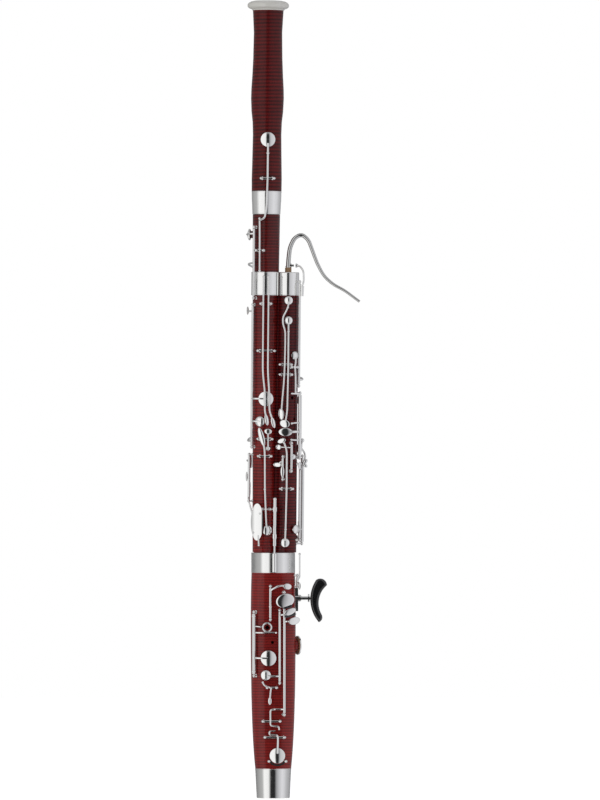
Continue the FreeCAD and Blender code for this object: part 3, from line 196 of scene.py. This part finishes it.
def silver(label, roughness=0.09, tint=(0.86, 0.86, 0.85), crown=0.0):
    """Polished plating; faint wiping marks keep it from looking perfect.  crown rounds a flat front face."""
    mat, tree, look = shader(label)
    marks = ramp(tree, noise(tree, (60, 60, 60), Detail=3.0),
                 ((0.35, (0.8 * roughness,) * 3), (0.7, (1.5 * roughness,) * 3)))
    tree.links.new(marks, look.inputs["Roughness"])
    look.inputs["Base Color"].default_value = (*tint, 1)
    look.inputs["Metallic"].default_value = 1.0
    if crown:
        split = add(tree, "ShaderNodeSeparateXYZ")
        tree.links.new(stretched(tree, (1, 1, 1)), split.inputs[0])
        square = add(tree, "ShaderNodeMath", operation="MULTIPLY")
        tree.links.new(split.outputs["X"], square.inputs[0])
        tree.links.new(split.outputs["X"], square.inputs[1])
        arch = add(tree, "ShaderNodeMath", operation="MULTIPLY")
        tree.links.new(square.outputs[0], arch.inputs[0])
        arch.inputs[1].default_value = -0.5 / crown
        bump = add(tree, "ShaderNodeBump", Strength=1.0, Distance=1.0)
        tree.links.new(arch.outputs[0], bump.inputs["Height"])
        tree.links.new(bump.outputs[0], look.inputs["Normal"])
    return mat


def plain(label, colour, other, roughness, scale, coat=0.0, metallic=0.0, depth=0.0):
    """A nearly even material: two close colours in a soft pattern, with an optional fine relief."""
    mat, tree, look = shader(label)
    pattern = noise(tree, (scale,) * 3, Detail=4.0, Roughness=0.6)
    tree.links.new(ramp(tree, pattern, ((0.35, other), (0.65, colour))), look.inputs["Base Color"])
    look.inputs["Roughness"].default_value = roughness
    look.inputs["Metallic"].default_value = metallic
    look.inputs["Coat Weight"].default_value = coat
    if depth:
        bump = add(tree, "ShaderNodeBump", Strength=0.5, Distance=depth)
        tree.links.new(pattern, bump.inputs["Height"])
        tree.links.new(bump.outputs[0], look.inputs["Normal"])
    return mat


# The last number, top, sets the painted shade that darkens each wood towards the top.
BOOT_WOOD = maple("maple_boot", (0.37, 0.020, 0.016), (0.19, 0.010, 0.010), 0.0047, 0.5, 1.0)
LONG_WOOD = maple("maple_bass", (0.34, 0.017, 0.014), (0.13, 0.006, 0.007), 0.0050, 0.45, 0.42)
# The wing and bell woods are darker copies of the same maple: painted shade.
WING_WOOD_PAINTED_SHADE = maple("maple_wing_painted_shade", (0.17, 0.009, 0.010), (0.05, 0.003, 0.004), 0.0050, 0.3, 0.8)
BELL_WOOD_PAINTED_SHADE = maple("maple_bell_painted_shade", (0.17, 0.008, 0.008), (0.055, 0.003, 0.004), 0.0060, 0.22, 1.0)
SILVER = silver("silver")
KEY_SILVER = silver("silver_keys", 0.07, (0.88, 0.88, 0.87))
BAND_SILVER = silver("silver_boot_bands", 0.08, crown=0.055)
BOCAL_SILVER = silver("silver_bocal", 0.12, (0.6, 0.6, 0.59))
BRASS = plain("brass", (0.70, 0.50, 0.20), (0.62, 0.43, 0.17), 0.25, 90, metallic=1.0)
IVORY = plain("ivory", (0.80, 0.79, 0.74), (0.74, 0.73, 0.67), 0.28, 45, coat=0.6)
EBONITE = plain("ebonite", (0.006, 0.006, 0.007), (0.010, 0.010, 0.011), 0.22, 60, coat=0.7)
CORK = plain("cork", (0.46, 0.29, 0.16), (0.25, 0.14, 0.07), 0.8, 900, depth=0.0002)
LEATHER = plain("pad_leather", (0.52, 0.36, 0.22), (0.44, 0.29, 0.17), 0.6, 700, depth=0.0001)
STEEL = plain("blued_steel", (0.05, 0.06, 0.10), (0.03, 0.035, 0.07), 0.25, 400, metallic=1.0)
# Near-black screw slots: painted shade standing in for the slot's recess.
SLOT_PAINTED_SHADE = plain("screw_slot_painted_shade", (0.012, 0.012, 0.012), (0.02, 0.02, 0.02), 0.6, 300)

NODE_LOOK = {
    "boot_body": BOOT_WOOD, "wing_body": WING_WOOD_PAINTED_SHADE, "bass_body": LONG_WOOD, "bell_body": BELL_WOOD_PAINTED_SHADE,
    "bell_ring": IVORY, "handrest_crutch": EBONITE, "wing_liner": EBONITE, "bocal_cork": CORK,
    "boot_u_tube": BRASS, "boot_ferrule": BAND_SILVER, "boot_cap": BAND_SILVER,
    "bass_band": SILVER, "bell_ferrule": SILVER, "wing_ferrule": SILVER, "bocal_tube": BOCAL_SILVER,
}
for name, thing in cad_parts.items():
    thing.data.materials.clear()
    thing.data.materials.append(NODE_LOOK.get(name, KEY_SILVER))


# ---------------------------------------------------------------- building small pieces
def piece(label, parts, looks, body, smooth=True):
    """One object from (vertices, faces, look index) parts, riding on a CAD body."""
    mesh = bpy.data.meshes.new(label)
    verts, faces, marks = [], [], []
    for points, polygons, look in parts:
        faces += [[len(verts) + corner for corner in polygon] for polygon in polygons]
        marks += [look] * len(polygons)
        verts += points
    mesh.from_pydata(verts, [], faces)
    for look in looks:
        mesh.materials.append(look)
    mesh.polygons.foreach_set("material_index", marks)
    mesh.polygons.foreach_set("use_smooth", [smooth] * len(faces))
    mesh.update()
    made = bpy.data.objects.new(label, mesh)
    bpy.context.scene.collection.objects.link(made)
    if smooth:
        mesh.set_sharp_from_angle(angle=math.radians(38))
    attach(made, body)
    return made


def spun(outline, matrix, count=48, look=0):
    """A closed outline of (radius, height) turned about the matrix's Z.  Ends at radius 0 close the piece."""
    points, faces = [], []
    rings = []
    for radius, height in outline:
        if radius == 0:
            rings.append([len(points)])
            points.append(matrix @ Vector((0, 0, height)))
            continue
        rings.append(list(range(len(points), len(points) + count)))
        points += [matrix @ Vector((radius * math.cos(2 * math.pi * k / count),
                                    radius * math.sin(2 * math.pi * k / count), height))
                   for k in range(count)]
    pairs = list(zip(rings, rings[1:]))
    if outline[0][0] and outline[-1][0]:
        pairs.append((rings[-1], rings[0]))
    for low, high in pairs:
        for k in range(count):
            n = (k + 1) % count
            if len(low) == 1:
                faces.append([low[0], high[n], high[k]])
            elif len(high) == 1:
                faces.append([low[k], low[n], high[0]])
            else:
                faces.append([low[k], low[n], high[n], high[k]])
    return points, faces, look


def tube(points, radius, matrix, count=10, look=0):
    """A round wire through points, closed at both ends."""
    rows, faces = [], []
    side = None
    for k, point in enumerate(points):
        way = (points[min(k + 1, len(points) - 1)] - points[max(k - 1, 0)]).normalized()
        side = way.orthogonal() if side is None else side - way * side.dot(way)
        side = side.normalized()
        other = way.cross(side)
        rows += [matrix @ (point + radius * (math.cos(a) * side + math.sin(a) * other))
                 for a in (2 * math.pi * j / count for j in range(count))]
    for k in range(len(points) - 1):
        for j in range(count):
            n = (j + 1) % count
            faces.append([k * count + j, k * count + n, (k + 1) * count + n, (k + 1) * count + j])
    faces.append(list(range(count))[::-1])
    faces.append([(len(points) - 1) * count + j for j in range(count)])
    return rows, faces, look


def block(matrix, half, look=0):
    corners = [matrix @ Vector((x * half[0], y * half[1], z * half[2]))
               for z in (-1, 1) for x, y in ((-1, -1), (1, -1), (1, 1), (-1, 1))]
    faces = [[3, 2, 1, 0], [4, 5, 6, 7], [0, 1, 5, 4], [1, 2, 6, 5], [2, 3, 7, 6], [3, 0, 4, 7]]
    return corners, faces, look


# ---------------------------------------------------------------- pads and tone-hole seats
CUPS = [
    ("bell_key", "bell", front("bell", -14.8, 6.5, 1106), FRONT, 12.2, 6.5),
    ("low_b_key", "bass", around("bass", -97, 4.5, 947), facing(-97), 9.5, 4.5),
    ("low_c_key", "bass", front("bass", -14.5, 3.0, 670.7), FRONT, 12.4, 3.0),
    ("low_c_key", "bass", around("bass", -18, 3.0, 632.8), facing(-18), 8.2, 3.0),
    ("long_lever_key", "bass", around("bass", 16, 3.0, 450), facing(16), 8.0, 3.0),
    ("short_oval_key", "bass", front("bass", -10.2, 2.6, 587.5), Vector((0.3, -1, 0)), 4.2, 2.6),
    ("low_d_key", "bass", around("bass", -27, 2.8, 466), facing(-27), 10.0, 2.8),
    ("b_flat_thumb_key", "bass", around("bass", 207, 4.2, 818), facing(207), 11.0, 4.2),
    ("upper_trill_key", "wing", front("wing", 22.2, 3.0, 836.5), FRONT, 6.9, 3.0),
    ("lower_trill_key", "wing", front("wing", 22.2, 3.0, 802.8), FRONT, 6.7, 3.0),
    ("upper_vent_key", "wing", around("wing", 34, 3.0, 744), facing(34), 6.7, 3.0),
    ("third_finger_key", "wing", front("wing", 19.5, 3.2, 615.5), FRONT, 5.4, 3.2),
    ("low_ring_lever", "wing", front("wing", 19.7, 3.0, 429.5), FRONT, 7.3, 3.0),
    ("side_oval_key", "wing", Vector((31.8, -17.2, 574.0)), facing(35), 4.6, 2.6),
    ("right_hand_vent_key", "wing", around("wing", 47, 4.2, 452), facing(47), 7.2, 4.2),
    ("resonance_key", "wing", around("wing", 112, 4.4, 588), facing(112), 9.2, 4.4),
    ("flick_key_1", "wing", around("wing", 128, 3.0, 789), facing(128), 6.2, 3.0),
    ("flick_key_2", "wing", around("wing", 120, 3.0, 669), facing(120), 6.2, 3.0),
    ("g_key", "boot", Vector((-7.7, -29.6, 235.6)), FRONT, 13.0, 4.7),
    ("b_flat_key", "boot", front("boot", -12.1, 3.0, 207), FRONT, 8.2, 3.0),
    ("low_cup_key", "boot", front("boot", 7.2, 3.0, 71.8), FRONT, 12.9, 3.0),
    ("low_e_pancake_key", "boot", around("boot", 112, 4.6, 256), facing(112), 16.0, 4.6),
    ("f_sharp_thumb_key", "boot", Vector((2.0, 27.7, 138)), Y, 10.5, 3.8),
]


def pad(number, key, joint, centre, outward, wall):
    radius = wall - 0.86
    outline = [(0, 1.95), (radius, 1.95), (radius, -0.1), (radius - 0.25, -0.45), (radius - 0.8, -0.6),
               (0.62 * radius, -0.55), (0.55 * radius, -0.4), (0, -0.4)]
    piece(f"pad_{number:02d}_{key}", [spun(outline, stood_on(joint, centre, outward))], [LEATHER], key)


def seat(number, joint, centre, outward, wall, stand):
    """The raised rim round a tone hole, of the joint's own wood."""
    hole, rim = 0.42 * wall, 0.64 * wall
    outline = [(hole, -stand - 3.5), (rim, -stand - 3.5), (rim, -1.8), (rim - 0.5, -1.45),
               (hole + 0.4, -1.45), (hole, -1.8)]
    wood = {"boot": BOOT_WOOD, "bell": BELL_WOOD_PAINTED_SHADE, "wing": WING_WOOD_PAINTED_SHADE, "bass": LONG_WOOD}[joint]
    piece(f"seat_{number:02d}", [spun(outline, stood_on(joint, centre, outward))], [wood], BODY[joint])


for number, (key, joint, centre, outward, wall, stand) in enumerate(CUPS, start=1):
    pad(number, key, joint, centre, outward, wall)
    seat(number, joint, centre, outward, wall, stand)


# ---------------------------------------------------------------- screws and needle springs of every hinge
def upright_rod(joint, angle, stand, height, low, high):
    side = around(joint, angle, stand, height)
    return Vector((side.x, side.y, low)), Vector((side.x, side.y, high))


def level_rod(left, right, y, height):
    return Vector((left, y, height)), Vector((right, y, height))


vent_middle = around("wing", 31, 6.0, 724.5)
vent_along = facing(31).cross(Z)
ROD = {
    "bell_key": ("bell", level_rod(-25.6, -4.4, -30.5, 1041)),
    "bell_link": ("bass", level_rod(-33.4, -21.2, -26.0, 920)),
    "low_b_key": ("bass", upright_rod("bass", -45, 6.0, 958, 840, 959)),
    "c_sharp_lever": ("bass", level_rod(-28.7, -0.9, -29.0, 751.5)),
    "low_c_key": ("bass", upright_rod("bass", -55, 5.2, 720, 590, 829)),
    "long_lever_key": ("bass", level_rod(-26.2, -5.0, -26.0, 574.5)),
    "short_oval_key": ("bass", level_rod(-27.3, -3.8, -24.8, 603.4)),
    "low_d_key": ("bass", upright_rod("bass", -80, 6.2, 545, 499, 577)),
    "b_flat_thumb_key": ("bass", upright_rod("bass", 172, 6.0, 740, 640, 832)),
    "upper_trill_key": ("wing", level_rod(8.6, 27.6, -22.6, 728.7)),
    "lower_trill_key": ("wing", level_rod(8.7, 28.4, -22.6, 711.9)),
    "upper_vent_key": ("wing", (vent_middle + 5.5 * vent_along, vent_middle - 5.5 * vent_along)),
    "whisper_key": ("wing", upright_rod("wing", 58, 5.4, 750, 693, 868)),
    "third_finger_key": ("wing", upright_rod("wing", 62, 7.0, 620, 572, 681)),
    "low_ring_lever": ("wing", level_rod(11.3, 31.5, -22.6, 520)),
    "side_oval_key": ("wing", (Vector((29.3, -21.6, 550)), Vector((29.3, -21.6, 597)))),
    "side_bar_key": ("wing", (Vector((14.6, -22.4, 536)), Vector((14.6, -22.4, 574)))),
    "right_hand_vent_key": ("wing", upright_rod("wing", 80, 5.6, 500, 434, 562)),
    "resonance_key": ("wing", upright_rod("wing", 100, 9.6, 500, 428, 575)),
    "flick_key_1": ("wing", upright_rod("wing", 168, 5.4, 770, 740, 800)),
    "flick_key_2": ("wing", upright_rod("wing", 160, 5.4, 650, 620, 680)),
    "a_flat_key": ("boot", (Vector((-4.6, -31.4, 300.5)), Vector((-4.6, -31.4, 356)))),
    "g_key": ("boot", (Vector((-32.4, -23.4, 206)), Vector((-32.4, -23.4, 313)))),
    "b_flat_key": ("boot", (Vector((11.0, -31.2, 194)), Vector((11.0, -31.2, 316)))),
    "low_f_key": ("boot", (Vector((18.8, -31.2, 141)), Vector((18.8, -31.2, 346)))),
    "f_link_key": ("boot", level_rod(-17.2, 11.4, -28.4, 129.6)),
    "low_cup_key": ("boot", level_rod(-13.8, 19.0, -27.4, 102.7)),
    "guard_lever_key": ("boot", level_rod(-10.0, 5.6, -30.0, 186.0)),
    "low_e_pancake_key": ("boot", upright_rod("boot", 160, 6.4, 262, 205, 300)),
    "f_sharp_thumb_key": ("boot", upright_rod("boot", 205, 6.2, 200, 122, 192)),
    "side_lock_lever": ("boot", (Vector((40.6, -8, 355.5)), Vector((40.6, -8, 374)))),
}


def rod_screws(joint, rods):
    """Slotted screw heads on both pillars of each hinge, all of a joint as one piece; each slot is a near-black bar
    of painted shade.
    """
    parts = []
    for first, second in rods:
        way = (second - first).normalized()
        for end, out in ((first, -way), (second, way)):
            seat_at = stood_on(joint, end + out * 2.25, out)
            parts.append(spun([(0, -0.3), (1.35, -0.3), (1.35, 0.35), (1.1, 0.6), (0, 0.6)], seat_at, 24))
            spin = Matrix.Rotation(random.uniform(0, math.pi), 4, "Z")
            turned = seat_at @ spin @ Matrix.Translation((0, 0, 0.52))
            parts.append(block(turned, (1.06, 0.17, 0.1), 1))
    piece(f"rod_screws_{joint}", parts, [SILVER, SLOT_PAINTED_SHADE], BODY[joint])


def needle_springs(joint, rods):
    """Blued needles from a pillar along the wood side of each tube."""
    parts = []
    for first, second in rods:
        way = (second - first).normalized()
        length = (second - first).length
        inward = Vector((middle_and_wall(joint, first.x, first.z)[0], 0, first.z)) - first
        inward = (inward - way * inward.dot(way)).normalized()
        reach = min(30.0, 0.55 * length)
        begin = first + way * 1.2 + inward * 1.5
        parts.append(tube([begin, begin + way * 0.4 * reach + inward * 1.0, begin + way * reach + inward * 1.3],
                          0.26, frame_of(joint), 8))
    piece(f"needle_springs_{joint}", parts, [STEEL], BODY[joint])


for joint in BODY:
    rods = [rod for home, rod in ROD.values() if home == joint]
    rod_screws(joint, rods)
    needle_springs(joint, rods)


# ---------------------------------------------------------------- rims and beads of the metal bands
def bead(label, joint, axis_x, radius, height, thick, body):
    outline = [(radius + thick * math.cos(a), thick * math.sin(a)) for a in (2 * math.pi * k / 12 for k in range(12))]
    place = frame_of(joint) @ Matrix.Translation((axis_x, 0, height))
    piece(label, [spun(outline, place, 96)], [SILVER], body)


def open_bead(label, joint, axis_x, radius, height, thick, body, middle, gap):
    """A bead broken for gap degrees either side of the direction middle, where the other long joint passes."""
    angles = [math.radians(middle + gap + (360 - 2 * gap) * k / 90) for k in range(91)]
    path = [Vector((axis_x + radius * math.cos(a), radius * math.sin(a), height)) for a in angles]
    piece(label, [tube(path, thick, frame_of(joint), 12)], [SILVER], body)


def oval_bead(label, height, thick, body):
    """A bead round the boot's outline of two half circles joined by straight sides."""
    width = boot_width(height)
    wall = width * 0.33
    flat = width / 2 - wall
    path = []
    for k in range(96):
        a = 2 * math.pi * k / 96
        path.append(Vector((math.copysign(flat, math.cos(a)) + wall * math.cos(a), wall * math.sin(a), height)))
    points, faces = [], []
    for k, spot in enumerate(path):
        out = Vector((math.cos(2 * math.pi * k / 96), math.sin(2 * math.pi * k / 96), 0))
        points += [Matrix.Scale(0.001, 4) @ (spot + thick * (math.cos(b) * out + math.sin(b) * Z))
                   for b in (2 * math.pi * j / 10 for j in range(10))]
    for k in range(96):
        for j in range(10):
            a, b, n, m = k * 10, (k + 1) % 96 * 10, j, (j + 1) % 10
            faces.append([a + n, b + n, b + m, a + m])
    piece(label, [(points, faces, 0)], [BAND_SILVER], body)


oval_bead("cap_top_bead", 48.4, 0.5, "root")
oval_bead("ferrule_base_bead", 379.6, 0.5, "root")
oval_bead("ferrule_top_bead", 411.0, 0.45, "root")
bead("bell_ferrule_foot_bead", "bell", -16.6, 23.35, 982.4, 0.4, "bell")
bead("bell_ferrule_top_bead", "bell", -16.6, 24.9, 1018.6, 0.45, "bell")
open_bead("bass_band_foot_bead", "bass", -16.6, 24.0, 846.2, 0.5, "bass", 0, 34)
open_bead("bass_band_top_bead", "bass", -16.6, 24.0, 882.8, 0.5, "bass", 0, 34)
open_bead("wing_ferrule_foot_bead", "wing", 21.0, 18.35, 846.2, 0.4, "wing", 180, 34)
bead("bocal_foot_bead", "wing", 21.0, 4.5, 893.6, 0.7, "bocal")


# ---------------------------------------------------------------- corks under the levers
CORKS = (
    ("bell_key", "bell", (-16.5, -30.0, 992), FRONT, 2.0, 1.6),
    ("c_sharp_lever", "bass", (-12.9, -30.6, 636), FRONT, 2.2, 1.4),
    ("e_flat_lever", "bass", (-2.4, -27.8, 631.5), FRONT, 2.2, 1.4),
    ("long_lever_key", "bass", (-21.0, -30.0, 606), FRONT, 2.4, 1.6),
    ("upper_trill_key", "wing", (11.8, -22.6, 646), FRONT, 2.0, 1.4),
    ("lower_trill_key", "wing", (17.6, -22.9, 630), FRONT, 2.2, 1.4),
    ("low_f_key", "boot", (20.0, -34.9, 335), FRONT, 2.6, 1.6),
)
for key, joint, spot, outward, radius, tall in CORKS:
    outline = [(0, -tall), (radius, -tall), (radius, 0.4), (0, 0.4)]
    piece(f"lever_cork_{key}", [spun(outline, stood_on(joint, Vector(spot), outward), 24)], [CORK], key)


# ---------------------------------------------------------------- rollers of the two low touches
def roller(label, key, first, second, radius):
    """An ebonite barrel on a thin axle between two points."""
    length = (second - first).length
    place = stood_on("boot", first, (second - first).normalized())
    barrel = [(0, 0.6), (radius - 0.6, 0.6), (radius, 1.3), (radius, length - 1.3), (radius - 0.6, length - 0.6),
              (0, length - 0.6)]
    axle = [(0, -0.8), (0.7, -0.8), (0.7, length + 0.8), (0, length + 0.8)]
    piece(label, [spun(barrel, place, 32), spun(axle, place, 16, 1)], [EBONITE, STEEL], key)


roller("low_f_roller", "low_f_key", Vector((17, -37, 319.5)), Vector((32, -36, 324)), 2.2)
roller("b_flat_roller", "b_flat_key", Vector((20, -36.5, 305)), Vector((38, -33, 310)), 2.2)


# ---------------------------------------------------------------- floor, light and camera
def floor():
    mesh = bpy.data.meshes.new("floor")
    mesh.from_pydata([(-4, -4, 0), (4, -4, 0), (4, 4, 0), (-4, 4, 0)], [], [[0, 1, 2, 3]])
    look = plain("floor_white", (0.92, 0.92, 0.92), (0.90, 0.90, 0.90), 0.9, 3)
    glow = look.node_tree.nodes["Principled BSDF"]
    glow.inputs["Emission Color"].default_value = (1, 1, 1, 1)
    glow.inputs["Emission Strength"].default_value = 0.62
    mesh.materials.append(look)
    made = bpy.data.objects.new("floor", mesh)
    made.location.z = load_box[0][2] - 0.0004
    bpy.context.scene.collection.objects.link(made)
    made.visible_glossy = False
    made.visible_diffuse = False


def studio():
    """Two wide soft walls of light in front with a narrow dark gap between them, and a white ceiling."""
    world = bpy.data.worlds.new("studio")
    world.use_nodes = True
    bpy.context.scene.world = world
    tree = world.node_tree
    back = tree.nodes["Background"]
    split = add(tree, "ShaderNodeSeparateXYZ")
    tree.links.new(add(tree, "ShaderNodeTexCoord").outputs["Generated"], split.inputs[0])
    toward = add(tree, "ShaderNodeMath", operation="MULTIPLY")
    tree.links.new(split.outputs["Y"], toward.inputs[0])
    toward.inputs[1].default_value = -1.0
    angle = add(tree, "ShaderNodeMath", operation="ARCTAN2")
    tree.links.new(split.outputs["X"], angle.inputs[0])
    tree.links.new(toward.outputs[0], angle.inputs[1])
    share = add(tree, "ShaderNodeMapRange")
    tree.links.new(angle.outputs[0], share.inputs["Value"])
    share.inputs["From Min"].default_value = -math.pi
    share.inputs["From Max"].default_value = math.pi
    stops = []
    for degrees, level in ((-180, 0.30), (-140, 0.34), (-112, 0.44), (-84, 0.50), (-58, 1.05), (-16, 0.98),
                           (-9, 0.03), (6, 0.02), (11, 0.34), (20, 0.60), (60, 0.80), (88, 0.72), (112, 0.55),
                           (142, 0.42), (180, 0.30)):
        tint = (level, level, level * (1.04 if degrees > 0 else 1.0))
        stops.append(((degrees + 180) / 360, tint))
    walls = ramp(tree, share.outputs[0], stops)
    sky = ramp(tree, split.outputs["Z"], ((0.55, (0, 0, 0)), (0.85, (1, 1, 1))))
    white = add(tree, "ShaderNodeRGB")
    white.outputs[0].default_value = (0.5, 0.5, 0.51, 1)
    mixed = tree.nodes.new("ShaderNodeMix")
    mixed.data_type = "RGBA"
    tree.links.new(sky, mixed.inputs["Factor"])
    tree.links.new(walls, mixed.inputs[6])
    tree.links.new(white.outputs[0], mixed.inputs[7])
    tree.links.new(mixed.outputs[2], back.inputs["Color"])
    back.inputs["Strength"].default_value = 1.0
    seen = add(tree, "ShaderNodeBackground")
    seen.inputs["Color"].default_value = (1, 1, 1, 1)
    seen.inputs["Strength"].default_value = 1.0
    choose = add(tree, "ShaderNodeMixShader")
    tree.links.new(add(tree, "ShaderNodeLightPath").outputs["Is Camera Ray"], choose.inputs[0])
    tree.links.new(back.outputs[0], choose.inputs[1])
    tree.links.new(seen.outputs[0], choose.inputs[2])
    tree.links.new(choose.outputs[0], tree.nodes["World Output"].inputs["Surface"])


def camera():
    lens = bpy.data.cameras.new("camera")
    lens.lens = 321.0
    lens.clip_end = 100.0
    made = bpy.data.objects.new("camera", lens)
    made.location = (0.0451, -12.0, 0.669)
    made.rotation_euler = (math.radians(90), 0, 0)
    bpy.context.scene.collection.objects.link(made)
    bpy.context.scene.camera = made


floor()
studio()
camera()
bpy.context.scene.view_settings.view_transform = "Standard"
bpy.context.view_layer.update()
